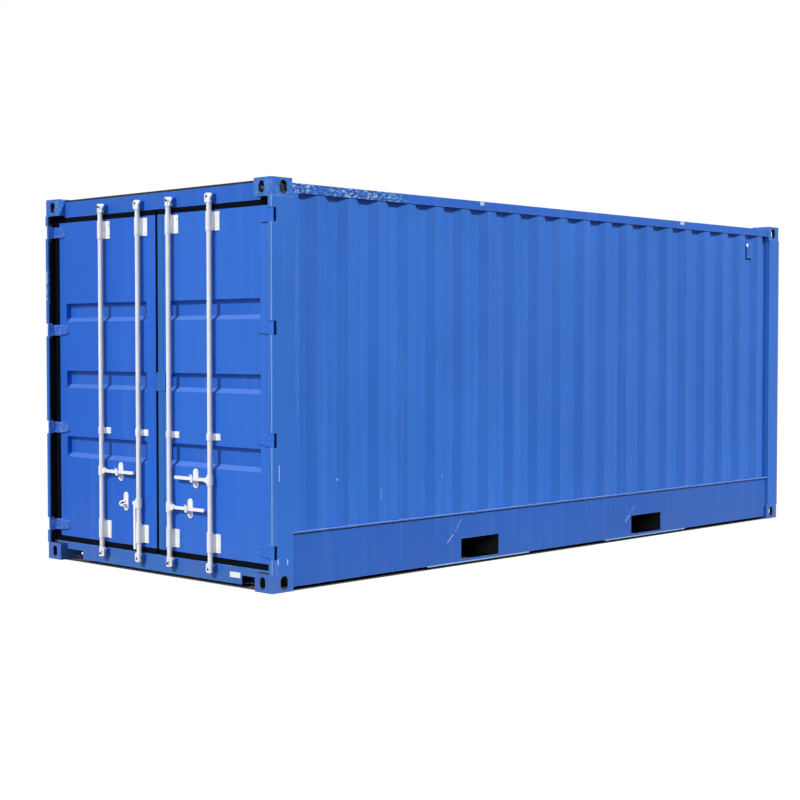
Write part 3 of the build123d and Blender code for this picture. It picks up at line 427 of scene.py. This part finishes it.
# Darker blue on the flat floor of each door recess: painted shade.
RECESS_FLOORS_PAINTED_SHADE = coat(FRAME_BLUE, *({"Y": (LEAF_FACE_Y + 0.034, FAR), "out": (0.0, 1.09),
                                    "Z": (low + RECESS_SLOPE, high - 0.012)}
                                   for low, high in RECESSES), amount=0.8)
SEAM_STRIP = coat(SEAM_BLUE, {"X": (-0.01, 0.0726), "Y": (-FAR, LEAF_FACE_Y + 0.002)})
BLUE_STRAPS = coat(WORN_AND_LIT_BLUE, {"Z": (-FAR, RAIL_LOW.z + 0.001), "out": (SIDE_X - 0.0205, FAR)})
WALL_JOINTS = coat(CHIPPED_AND_SHADE_DARK, *({"Y": (y - 0.0016, y + 0.0016)}
                                   for y in (-2.777, -1.398, -0.578)), amount=0.35)
WALL_MARKS = coat(SCRAPED_BLUE, *({"X": (0.0, FAR), "Y": y, "Z": z} for y, z in (
    ((-2.425, -2.413), (0.669, 0.681)),
    ((-1.443, -1.437), (0.637, 0.655)),
    ((-2.047, -2.043), (0.524, 0.591)))), amount=0.6)
# Dark band on the bottom rail's web just under its lip: painted shadow of the lip.
LIP_PAINTED_SHADOW = coat(CHIPPED_AND_SHADE_DARK, {"out": (SIDE_X - 0.021, FAR),
                                "Z": (RAIL_HIGH.z - 0.023, RAIL_HIGH.z - 0.0115)}, amount=0.85)
# Pale band along the top of the bottom rail's lip: worn paint, and a painted highlight on its
# edge.
LIP_EDGE_WEAR_AND_HIGHLIGHT = coat(WORN_AND_LIT_BLUE, {"out": (SIDE_X - 0.005, FAR), "Z": (RAIL_HIGH.z - 0.005, FAR)},
                amount=0.6)

PAINTS = {
    "body_paint": {"colour": BODY_BLUE, "worn": 0.45},
    "wall_paint": {"colour": BODY_BLUE, "worn": 0.3, "coats": [WALL_JOINTS, WALL_MARKS]},
    "low_rail_paint": {"colour": RAIL_BLUE, "worn": 0.8, "coats": [LIP_PAINTED_SHADOW, LIP_EDGE_WEAR_AND_HIGHLIGHT]},
    "sill_paint": {"colour": SILL_BLUE, "worn": 0.8, "dust": 0.3, "coats": [SILL_NOTCH_SHADE]},
    "header_paint": {"colour": FRAME_BLUE, "worn": 0.3, "coats": [HEADER_EDGE]},
    "post_paint": {"colour": BODY_BLUE, "worn": 0.6, "streaks": 0.8,
                   "coats": [JAMB_SEAL_AND_SHADE, NEAR_POST_MARKS, LEFT_POST_CHIPS, POST_EDGE_WEAR_AND_HIGHLIGHT]},
    "rear_post_paint": {"colour": BODY_BLUE, "worn": 0.3,
                        "coats": [REAR_POST_PAINTED_LIGHT, REAR_POST_EDGE]},
    "rail_paint": {"colour": FRAME_BLUE, "worn": 0.8, "chips": 1.0, "chip_end": -1.75},
    "casting_paint": {"colour": BODY_BLUE, "worn": 0.9, "chips": 0.2, "streaks": 1.0,
                      "coats": [CASTING_INSIDE_SHADE]},
    "foot_paint": {"colour": FRAME_BLUE, "worn": 0.5, "dust": 0.45, "coats": [CASTING_INSIDE_SHADE]},
    "under_paint": {"colour": TAR_AND_SHADE_BLACK, "worn": 0.0, "streaks": 0.0, "coats": [BLUE_STRAPS]},
    "door_paint": {"colour": LEFT_LEAF_BLUE, "worn": 0.12,
                   "coats": [RIGHT_LEAF, RECESS_FLOORS_PAINTED_SHADE, RECESS_FEET_PAINTED_LIGHT, SEAM_STRIP]},
    "hinge_paint": {"colour": LEFT_LEAF_BLUE, "worn": 0.3, "coats": [RIGHT_LEAF]},
    "chipped_paint": {"colour": LEFT_LEAF_BLUE, "worn": 1.0, "chips": 0.3, "streaks": 1.0},
    "scraped_paint": {"colour": SCRAPED_BLUE, "worn": 0.5},
}

MATERIALS = {name: paint(name, **settings) for name, settings in PAINTS.items()}
MATERIALS["lock_gear_paint"] = gear_paint("lock_gear_paint")
MATERIALS["seal_rubber"] = rubber("seal_rubber")
MATERIALS["floor_wood"] = floor_wood("floor_wood")
MATERIALS["bare_metal"] = bare_metal("bare_metal")

# Nodes that differ from their record slot, by the end of their name
SPECIAL_LOOKS = {
    "side_wall": "wall_paint",
    "top_side_rail": "rail_paint",
    "bottom_side_rail": "low_rail_paint",
    "door_sill": "sill_paint",
    "door_header": "header_paint",
    "top_corner_castings": "casting_paint",
    "bottom_corner_castings": "foot_paint",
    "door_post": "post_paint",
    "rear_post": "rear_post_paint",
    "right_door_hinge_blades": "hinge_paint",
    "left_door_hinge_blades": "chipped_paint",
    "fork_pocket_plates": "under_paint",
    "cross_members": "under_paint",
}


def dress_cad_nodes():
    """Every CAD node takes the material of its record slot, or its special look."""
    for part in frame["record"]["subparts"]:
        name = part["node"]
        look = part["material_slot"]
        for ending, special in SPECIAL_LOOKS.items():
            if name.endswith(ending):
                look = special
        slots = frame["nodes"][name].data.materials
        slots.clear()
        slots.append(MATERIALS[look])


# Mesh helpers

def finish_piece(name, mesh, look, body):
    """Turns a bmesh into a piece with a material that rides on a body."""
    data = bpy.data.meshes.new(name)
    bmesh.ops.recalc_face_normals(mesh, faces=mesh.faces)
    mesh.to_mesh(data)
    mesh.free()
    data.materials.append(MATERIALS[look])
    piece = bpy.data.objects.new(name, data)
    bpy.context.scene.collection.objects.link(piece)
    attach(piece, body)
    return piece


def frame_for(normal, up=UPWARD):
    """A rotation whose Z points along the normal and whose Y is as near to up as it can be."""
    z = Vector(normal).normalized()
    y = Vector(up) - Vector(up).dot(z) * z
    if y.length < 1e-6:
        y = Vector(REARWARD) - Vector(REARWARD).dot(z) * z
    y.normalize()
    return Matrix((y.cross(z), y, z)).transposed().to_4x4()


def join_rings(mesh, rings, closed=True):
    """Skins a row of equal rings of vertices, and caps both ends where the rings are closed."""
    for last, ring in zip(rings, rings[1:]):
        for i in range(0 if closed else 1, len(ring)):
            mesh.faces.new((last[i - 1], last[i], ring[i], ring[i - 1]))
    if closed:
        mesh.faces.new(rings[0])
        mesh.faces.new(rings[-1])


def add_dome(mesh, place, normal, radius, height, sides=12):
    """A rivet head: a low dome standing on a surface."""
    turn = Matrix.Translation(Vector(place)) @ frame_for(normal)
    angles = [2 * math.pi * i / sides for i in range(sides)]
    rings = []
    for share, lift in ((1.0, 0.0), (0.94, 0.45), (0.68, 0.84), (0.3, 1.0)):
        reach = radius * share
        spots = [(reach * math.cos(a), reach * math.sin(a), height * lift) for a in angles]
        rings.append([mesh.verts.new(turn @ Vector(spot)) for spot in spots])
    join_rings(mesh, rings)


def add_slab(mesh, place, normal, width, height, thickness, bevel, up=UPWARD):
    """A small plate with chamfered front edges, lying on a surface."""
    turn = Matrix.Translation(Vector(place)) @ frame_for(normal, up)
    rings = []
    for lift, inset in ((0.0, 0.0), (thickness - bevel, 0.0), (thickness, bevel)):
        half_w = width / 2 - inset
        half_h = height / 2 - inset
        corners = ((-half_w, -half_h), (half_w, -half_h), (half_w, half_h), (-half_w, half_h))
        rings.append([mesh.verts.new(turn @ Vector((x, y, lift))) for x, y in corners])
    join_rings(mesh, rings)


def add_bead(mesh, start, end, normal, width, height, ripple=0.012):
    """A weld bead: a low half-round ridge whose height ripples along its length."""
    start, end, normal = Vector(start), Vector(end), Vector(normal).normalized()
    along = end - start
    steps = max(2, int(along.length / ripple))
    across = along.normalized().cross(normal)
    rings = []
    for step in range(steps + 1):
        swell = 1.0 if step % 2 else 0.72
        middle = start + along * (step / steps)
        ring = []
        for i in range(5):
            angle = math.pi * i / 4
            sideways = across * (width / 2 * math.cos(angle))
            outwards = normal * (height * swell * math.sin(angle))
            ring.append(mesh.verts.new(middle + (sideways + outwards)))
        rings.append(ring)
    join_rings(mesh, rings, closed=False)


def add_strap(mesh, path, across, width, thickness):
    """A flat strap bent along a path, its width lying along the direction across."""
    path = [Vector(point) for point in path]
    across = Vector(across).normalized()
    rings = []
    for i, point in enumerate(path):
        along = (path[min(i + 1, len(path) - 1)] - path[max(i - 1, 0)]).normalized()
        side = across * (width / 2)
        up = across.cross(along).normalized() * (thickness / 2)
        corners = (side + up, side - up, -side - up, up - side)
        rings.append([mesh.verts.new(point + corner) for corner in corners])
    join_rings(mesh, rings)


# Stage, light and camera

def make_world():
    """Even light all round, and white behind the object in the picture and in reflections."""
    world = bpy.data.worlds.new("studio")
    bpy.context.scene.world = world
    world.use_nodes = True
    tree = world.node_tree
    tree.nodes.clear()
    rays = add(tree, "LightPath").outputs
    seen = calc(tree, "MAXIMUM", rays["Is Camera Ray"], rays["Is Transmission Ray"])
    seen = calc(tree, "MAXIMUM", seen, rays["Is Glossy Ray"])
    light = add(tree, "Background", {"Color": AMBIENT, "Strength": AMBIENT_STRENGTH})
    white = add(tree, "Background", {"Color": PURE_WHITE, "Strength": 1.0})
    both = add(tree, "MixShader", {0: seen, 1: light.outputs[0], 2: white.outputs[0]})
    add(tree, "OutputWorld", {"Surface": both.outputs[0]})


def make_sun(name, towards, strength, spread):
    """A soft sun that shines in a direction."""
    data = bpy.data.lights.new(name, "SUN")
    data.energy = strength
    data.angle = math.radians(spread)
    lamp = bpy.data.objects.new(name, data)
    lamp.rotation_mode = "QUATERNION"
    lamp.rotation_quaternion = Vector(towards).to_track_quat("-Z", "Y")
    bpy.context.scene.collection.objects.link(lamp)


def floor_material():
    """Grey ground that looks white to the camera, but for the part in the container's shade."""
    material, tree, place = start_material("studio_floor")
    rays = add(tree, "LightPath").outputs
    seen = calc(tree, "MAXIMUM", rays["Is Camera Ray"], rays["Is Glossy Ray"])
    tone = remap(tree, noise(tree, place, 0.6), 0.3, 0.7, *STAGE_GREYS)
    pale = add(tree, "BsdfDiffuse", {"Color": tone})
    white = add(tree, "Emission", {"Color": PURE_WHITE, "Strength": STAGE_GLOW})
    axes = find_axes(tree, place)
    beyond_side = calc(tree, "GREATER_THAN", axes["out"], SIDE_X - 0.012)
    beyond_end = calc(tree, "GREATER_THAN", axes["along"], REAR_Y - 0.040)
    open_ground = calc(tree, "MAXIMUM", beyond_side, beyond_end)
    shown = calc(tree, "MULTIPLY", seen, open_ground)
    share = calc(tree, "MULTIPLY", shown, STAGE_GLOW_SHARE)
    both = add(tree, "MixShader", {0: share, 1: pale.outputs[0], 2: white.outputs[0]})
    add(tree, "OutputMaterial", {"Surface": both.outputs[0]})
    return material


def make_floor():
    """A wide plain floor."""
    mesh = bmesh.new()
    corners = ((-1, -1), (1, -1), (1, 1), (-1, 1))
    mesh.faces.new([mesh.verts.new((x * STAGE_REACH, y * STAGE_REACH, 0.0)) for x, y in corners])
    data = bpy.data.meshes.new("studio_floor")
    mesh.to_mesh(data)
    mesh.free()
    data.materials.append(floor_material())
    floor = bpy.data.objects.new("studio_floor", data)
    bpy.context.scene.collection.objects.link(floor)


def make_camera():
    """The camera at the photograph's place and angle."""
    data = bpy.data.cameras.new("photo_camera")
    data.lens = CAMERA_LENS
    data.sensor_width = SENSOR_WIDTH
    data.clip_end = CAMERA_REACH
    camera = bpy.data.objects.new("photo_camera", data)
    camera.location = CAMERA_PLACE
    camera.rotation_euler = (math.radians(90 + CAMERA_PITCH), 0.0, math.radians(CAMERA_YAW))
    bpy.context.scene.collection.objects.link(camera)
    bpy.context.scene.camera = camera


# Floor

def plank_middle(column):
    """X of the middle of one row of boards."""
    return FLOOR_LOW.x + (column + 0.5) * (FLOOR_HIGH.x - FLOOR_LOW.x) / PLANK_COUNT


def floor_planks():
    """Long plywood boards with open joints, in place of the plain floor slab."""
    joint = 0.003
    bevel = 0.0015
    width = (FLOOR_HIGH.x - FLOOR_LOW.x) / PLANK_COUNT
    half_length = (FLOOR_HIGH.y - FLOOR_LOW.y) / 2
    thickness = FLOOR_HIGH.z - FLOOR_LOW.z
    rear_post_x = FLOOR_HIGH.x - 0.04
    mesh = bmesh.new()
    for column in range(PLANK_COUNT):
        x = plank_middle(column)
        beside_post = abs(x) + width / 2 > rear_post_x
        for j in range(2):
            y0 = FLOOR_LOW.y + j * half_length
            y1 = y0 + half_length
            if j and beside_post:
                y1 -= REAR_POST_ROOM
            add_slab(mesh, (x, (y0 + y1) / 2, FLOOR_LOW.z), UPWARD, width - joint,
                     y1 - y0 - joint, thickness, bevel, up=REARWARD)
    piece = finish_piece("floor_planks", mesh, "floor_wood", "frame")
    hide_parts("floor_boards")


def floor_screws():
    """Rows of screw heads over the cross members."""
    pitch = 0.33
    first = FLOOR_LOW.y + 0.1875
    rows = int((FLOOR_HIGH.y - FLOOR_LOW.y - 0.3) / pitch) + 1
    mesh = bmesh.new()
    for row in range(rows):
        for column in range(PLANK_COUNT):
            place = (plank_middle(column), first + row * pitch, FLOOR_HIGH.z)
            add_dome(mesh, place, UPWARD, 0.006, 0.0008, sides=8)
    finish_piece("floor_screws", mesh, "bare_metal", "frame")


# Doors

def guide_rivets():
    """Four rivets on each long rod guide, and two on each short one."""
    long_guides = (GUIDES_LOW.z + 0.026, GUIDES_LOW.z + 0.096,
                   GUIDES_HIGH.z - 0.096, GUIDES_HIGH.z - 0.026)
    short_guide = (LEAF_LOW.z + 0.782,)
    flange = 0.052
    for door in ("left", "right"):
        mesh = bmesh.new()
        for name, x in RODS.items():
            if name.startswith(door):
                for z in long_guides + short_guide:
                    for side in (-1, 1):
                        place = (x + side * flange, PLATE_FACE_Y, z)
                        add_dome(mesh, place, FRONTWARD, 0.0075, 0.004)
        finish_piece(f"{door}_guide_rivets", mesh, "lock_gear_paint", f"{door}_door")


def cam_eye_shades():
    """A black dome on the front of each cam head: painted shade in place of the dark hole of its
    eye.
    """
    from_end = 0.022
    face_y = ROD_Y - 0.0205
    for name, x in RODS.items():
        mesh = bmesh.new()
        for z in (ROD_LOW.z + from_end, ROD_HIGH.z - from_end):
            place = (x + HANDLE_WAYS[name] * 0.003, face_y, z)
            add_dome(mesh, place, FRONTWARD, 0.009, 0.0022)
        finish_piece(f"{name}_cam_eye_shades", mesh, "seal_rubber", f"{name}_lock")


def blade_beads():
    """Weld beads along the edges of the hinge blades on the leaves."""
    reaches = (0.178, 0.178, 0.178, 0.141)
    half_eye = 0.043
    half_root = 0.038
    half_tip = 0.024
    low_z = BLADES_LOW.z + half_eye
    step = (BLADES_HIGH.z - half_eye - low_z) / 3
    pin_x = BLADES_HIGH.x - 0.014
    leaf_edge = -LEAF_LOW.x
    bead = {"width": 0.008, "height": 0.004}
    for door, side in (("left", -1), ("right", 1)):
        mesh = bmesh.new()
        for i, reach in enumerate(reaches):
            z = low_z + i * step
            half = half_tip if reach == max(reaches) else half_root
            tip = side * (pin_x - reach)
            root = side * leaf_edge
            for up in (-1, 1):
                add_bead(mesh, (tip, LEAF_FACE_Y, z + up * half),
                         (root, LEAF_FACE_Y, z + up * half_root), (0, -1, up), **bead)
            add_bead(mesh, (tip, LEAF_FACE_Y, z - half), (tip, LEAF_FACE_Y, z + half),
                     (-side, -1, 0), **bead)
        look = "chipped_paint" if door == "left" else "hinge_paint"
        finish_piece(f"{door}_blade_welds", mesh, look, f"{door}_door")


def hanging_hasp(mesh, x, z):
    """A hasp that has swung aside, at the catch whose handle hangs down."""
    path = [(x, z + 0.004), (x - 0.030, z + 0.001), (x - 0.054, z - 0.008),
            (x - 0.062, z - 0.022), (x - 0.050, z - 0.030), (x - 0.020, z - 0.034)]
    y = LEAF_FACE_Y - 0.012
    add_strap(mesh, [(px, y, pz) for px, pz in path], REARWARD, 0.009, 0.011)


def shut_hasp(mesh, x, z):
    """A hasp that stands in front of its handle, with a rivet in it."""
    shelf = z - SHELF_DROP - 0.0015
    front = ROD_Y - 0.009
    path = [(LEAF_FACE_Y - 0.008, shelf), (front + 0.006, shelf), (front + 0.001, shelf + 0.002),
            (front, shelf + 0.008), (front, z + 0.012), (front - 0.002, z + 0.022),
            (front - 0.006, z + 0.026)]
    add_strap(mesh, [(x, py, pz) for py, pz in path], RIGHTWARD, 0.026, 0.003)
    add_dome(mesh, (x, front - 0.0015, z + 0.002), FRONTWARD, 0.007, 0.004)


def hasps():
    """A hasp and two rivets at each handle's catch."""
    for name, rod_x in RODS.items():
        door, row = name.split("_")
        z = HANDLE_HEIGHTS[row]
        x = rod_x + HANDLE_WAYS[name] * CATCH_OFFSET
        mesh = bmesh.new()
        if name == "left_inner":
            hanging_hasp(mesh, x, z)
        else:
            shut_hasp(mesh, x, z)
        for up in (-0.05, 0.05):
            add_dome(mesh, (x, PLATE_FACE_Y, z + up), FRONTWARD, 0.0065, 0.0035)
        finish_piece(f"{name}_hasp", mesh, "lock_gear_paint", f"{door}_door")


def seam_rivets():
    """Two rivets in the small plate over the seam."""
    low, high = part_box("seam_plate")
    mesh = bmesh.new()
    for z in (low.z + 0.03, high.z - 0.03):
        add_dome(mesh, (0.06, low.y, z), FRONTWARD, 0.007, 0.0035)
    finish_piece("seam_plate_rivets", mesh, "door_paint", "right_door")


def sill_plate():
    """The blank plate on the sill, with its two rivets."""
    x = 0.801
    z = 0.074
    thickness = 0.002
    mesh = bmesh.new()
    add_slab(mesh, (x, SILL_LOW.y, z), FRONTWARD, 0.104, 0.036, thickness, 0.0008)
    for side in (-1, 1):
        add_dome(mesh, (x + side * 0.044, SILL_LOW.y - thickness, z), FRONTWARD, 0.003, 0.0015)
    finish_piece("sill_plate", mesh, "lock_gear_paint", "frame")


def gasket_lips():
    """Sealing lips that run round each leaf on the front of its rubber."""
    low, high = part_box("right_door_gasket")
    inner = 0.02
    for door, side in (("left", -1), ("right", 1)):
        mesh = bmesh.new()
        for z in (low.z + 0.008, high.z - 0.010):
            add_bead(mesh, (side * inner, low.y, z), (side * high.x, low.y, z), FRONTWARD,
                     0.010, 0.003, ripple=0.3)
        for offset in (0.012, 0.040):
            x = side * (high.x - offset)
            add_bead(mesh, (x, low.y, low.z), (x, low.y, high.z), FRONTWARD,
                     0.008, 0.003, ripple=0.3)
        finish_piece(f"{door}_gasket_lips", mesh, "seal_rubber", f"{door}_door")


# Frame

def frame_welds():
    """Weld beads across the bottom rails, and where the header meets the top castings."""
    mesh = bmesh.new()
    for side in (-1, 1):
        web = side * RAIL_WEB_X
        for y in (-1.276, 0.755):
            add_bead(mesh, (web, y, 0.19), (web, y, 0.361), (side, 0, 0), 0.006, 0.0015)
        x = side * 1.057
        add_bead(mesh, (x, SILL_LOW.y, CAST_LOW.z + 0.002), (x, SILL_LOW.y, 2.583), FRONTWARD,
                 0.008, 0.003)
    finish_piece("frame_welds", mesh, "body_paint", "frame")


def scrapes():
    """Thin pale scratches on the bottom rail and chips on the top rail, each with its width."""
    web = RAIL_WEB_X
    top = TOP_RAIL_X
    lines = (
        ((web, -1.377, 0.168), (web, -1.315, 0.222), 0.005),
        ((web, -1.300, 0.236), (web, -1.220, 0.330), 0.002),
        ((web, 0.741, 0.142), (web, 0.795, 0.194), 0.005),
        ((web, 0.805, 0.204), (web, 0.865, 0.258), 0.002),
        ((top, 1.497, 2.535), (top, 1.497, 2.559), 0.060),
        ((top, -1.029, 2.536), (top, -1.029, 2.559), 0.045),
    )
    mesh = bmesh.new()
    for start, end, width in lines:
        add_bead(mesh, start, end, RIGHTWARD, width, 0.0005, ripple=0.01)
    finish_piece("paint_scrapes", mesh, "scraped_paint", "frame")


def vent_details():
    """Rivets and louvres on each ventilator cover, a black bead along its bottom edge and its
    edge towards the doors that is painted shade of the gap there, and a chip on one.
    """
    face = VENTS_HIGH.x
    y0, z0 = VENTS_LOW.y, VENTS_LOW.z
    y1, z1 = VENTS_HIGH.y, VENTS_HIGH.z
    heads = bmesh.new()
    shade_line = bmesh.new()
    for side in (-1, 1):
        x = side * face
        for y in (y0 + 0.016, y1 - 0.016):
            for z in (z0 + 0.014, z1 - 0.014):
                add_dome(heads, (x, y, z), (side, 0, 0), 0.005, 0.002)
        for i in range(4):
            z = z0 + 0.034 + 0.024 * i
            add_bead(heads, (x, y0 + 0.024, z), (x, y1 - 0.024, z), (side, 0, 0),
                     0.010, 0.004, ripple=0.2)
        # Black beads along the cover's bottom edge and its edge towards the doors: painted shade
        # of the gap round it.
        back = side * (face - 0.018)
        add_bead(shade_line, (back, y0 + 0.010, z0), (back, y0 + 0.010, z1 - 0.04), (side, -1, 0),
                 0.010, 0.006, ripple=0.05)
        add_bead(shade_line, (back, y0 + 0.012, z0), (back, y1 - 0.012, z0), (side, 0, -1),
                 0.010, 0.006, ripple=0.05)
    finish_piece("vent_rivets", heads, "body_paint", "frame")
    finish_piece("vent_shade_line", shade_line, "seal_rubber", "frame")
    mesh = bmesh.new()
    add_dome(mesh, (face, 2.546, 2.416), RIGHTWARD, 0.017, 0.001)
    finish_piece("vent_chip", mesh, "lock_gear_paint", "frame")


def lashing_rings():
    """Small lashing rings along the floor inside, five to a side."""
    wall = 1.118
    foot = FLOOR_HIGH.z + 0.004
    steps = 12
    mesh = bmesh.new()
    for side in (-1, 1):
        for i in range(5):
            y = -2.3 + i * 1.15
            angles = [math.pi * step / steps for step in range(steps + 1)]
            path = [(side * wall, y + 0.03 * math.cos(a), foot + 0.045 * math.sin(a))
                    for a in angles]
            add_strap(mesh, path, RIGHTWARD, 0.009, 0.009)
    finish_piece("lashing_rings", mesh, "body_paint", "frame")


def build():
    """Dresses the CAD nodes, then makes the stage and every further piece."""
    dress_cad_nodes()
    make_world()
    for name, settings in SUNS.items():
        make_sun(name, **settings)
    make_floor()
    make_camera()
    floor_planks()
    floor_screws()
    guide_rivets()
    cam_eye_shades()
    blade_beads()
    hasps()
    seam_rivets()
    sill_plate()
    gasket_lips()
    frame_welds()
    scrapes()
    vent_details()
    lashing_rings()
    bpy.context.scene.view_settings.view_transform = "Standard"


build()
